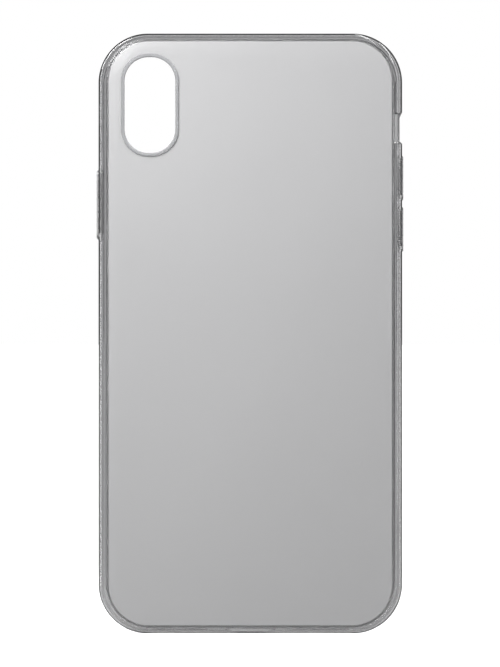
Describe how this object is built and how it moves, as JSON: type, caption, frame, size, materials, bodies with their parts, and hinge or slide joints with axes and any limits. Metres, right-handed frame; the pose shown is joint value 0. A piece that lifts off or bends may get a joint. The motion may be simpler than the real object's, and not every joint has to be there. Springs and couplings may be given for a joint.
{
  "type": "phone case",
  "caption": "Clear hard-backed case with a soft bumper, camera opening with a raised guard, side buttons that press and port cut-outs.",
  "frame": {"origin": "middle of the back plate's inner face, where the phone's back lies", "axes": "+Z to the case's top, +Y out of the pocket towards the user, +X to the right seen from the back"},
  "size_m": [0.0778, 0.0105, 0.1524],
  "materials": {
    "clear_polycarbonate": "polished",
    "clear_soft_plastic": "gloss"
  },
  "bodies": {
    "case": {"bumper_frame": "clear_soft_plastic", "back_plate": "clear_polycarbonate", "camera_guard": "clear_soft_plastic", "power_web": "clear_soft_plastic", "volume_up_web": "clear_soft_plastic", "volume_down_web": "clear_soft_plastic"},
    "power_button": {"power_button": "clear_soft_plastic"},
    "volume_up_button": {"volume_up_button": "clear_soft_plastic"},
    "volume_down_button": {"volume_down_button": "clear_soft_plastic"}
  },
  "joints": [
    {"name": "power_press", "type": "slide", "parent": "case", "child": "power_button", "axis": [1, 0, 0], "range_m": [0, 0.0003], "stiffness_N_per_m": 500, "deforming": ["power_web"]},
    {"name": "volume_up_press", "type": "slide", "parent": "case", "child": "volume_up_button", "axis": [-1, 0, 0], "range_m": [0, 0.0003], "stiffness_N_per_m": 500, "deforming": ["volume_up_web"]},
    {"name": "volume_down_press", "type": "slide", "parent": "case", "child": "volume_down_button", "axis": [-1, 0, 0], "range_m": [0, 0.0003], "stiffness_N_per_m": 500, "deforming": ["volume_down_web"]}
  ]
}
